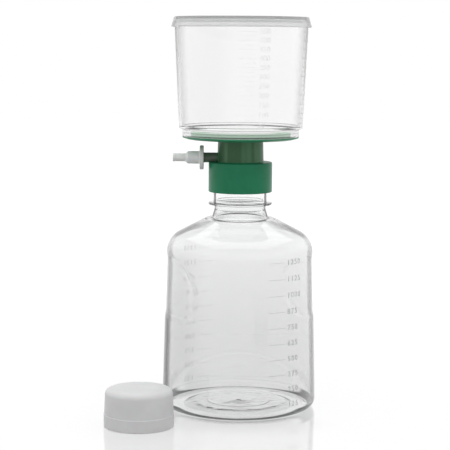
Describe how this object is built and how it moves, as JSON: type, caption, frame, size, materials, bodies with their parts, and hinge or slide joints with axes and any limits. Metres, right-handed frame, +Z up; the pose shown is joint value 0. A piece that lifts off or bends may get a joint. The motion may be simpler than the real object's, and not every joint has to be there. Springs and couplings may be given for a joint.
{
  "type": "vacuum filtration unit",
  "caption": "Disposable vacuum filtration unit: lidded clear funnel on a green membrane base with a side hose adapter, screwed on a clear graduated receiver bottle, with its storage cap.",
  "frame": {"origin": "centre of the bottle's foot ring, on the surface that the bottle stands on", "axes": "+Z up along the bottle's axis, -X towards the hose adapter, -Y towards the front, where the storage cap lies"},
  "size_m": [0.1618, 0.1568, 0.3053],
  "materials": {
    "bottle_clear": "clear blown polystyrene, glossy",
    "cap_white": "moulded white polyethylene, satin",
    "seal_rubber": "soft sealing ring, matte",
    "base_green": "moulded green polystyrene, satin gloss",
    "cotton": "pressed cotton fibre",
    "adapter_white": "moulded off-white polypropylene, satin",
    "membrane_white": "white microporous film, matte",
    "chamber_clear": "clear moulded polystyrene, glossy",
    "lid_clear": "translucent moulded polystyrene, satin"
  },
  "bodies": {
    "bottle": {"receiver_bottle": "bottle_clear", "storage_cap": "cap_white"},
    "seal": {"neck_seal": "seal_rubber"},
    "head": {"filter_base": "base_green", "upper_chamber": "chamber_clear", "membrane": "membrane_white", "vent_plug": "cotton"},
    "adapter": {"hose_adapter": "adapter_white"},
    "lid": {"lid": "lid_clear"}
  },
  "joints": [
    {"name": "head_rise", "type": "slide", "parent": "bottle", "child": "seal", "axis": [0, 0, 1], "range_m": [0, 0.00605]},
    {"name": "head_turn", "type": "hinge", "parent": "seal", "child": "head", "pos_m": [0, 0, 0.19], "axis": [0, 0, 1], "range_deg": [0, 540]},
    {"name": "lid_lift", "type": "slide", "parent": "head", "child": "lid", "axis": [0, 0, 1], "range_m": [0, 0.04]},
    {"name": "adapter_pull", "type": "slide", "parent": "head", "child": "adapter", "axis": [-1, 0, 0], "range_m": [0, 0.015]}
  ],
  "couplings": [
    {"joint": "head_rise", "follows": "head_turn", "m_per_rad": 0.00063662}
  ]
}
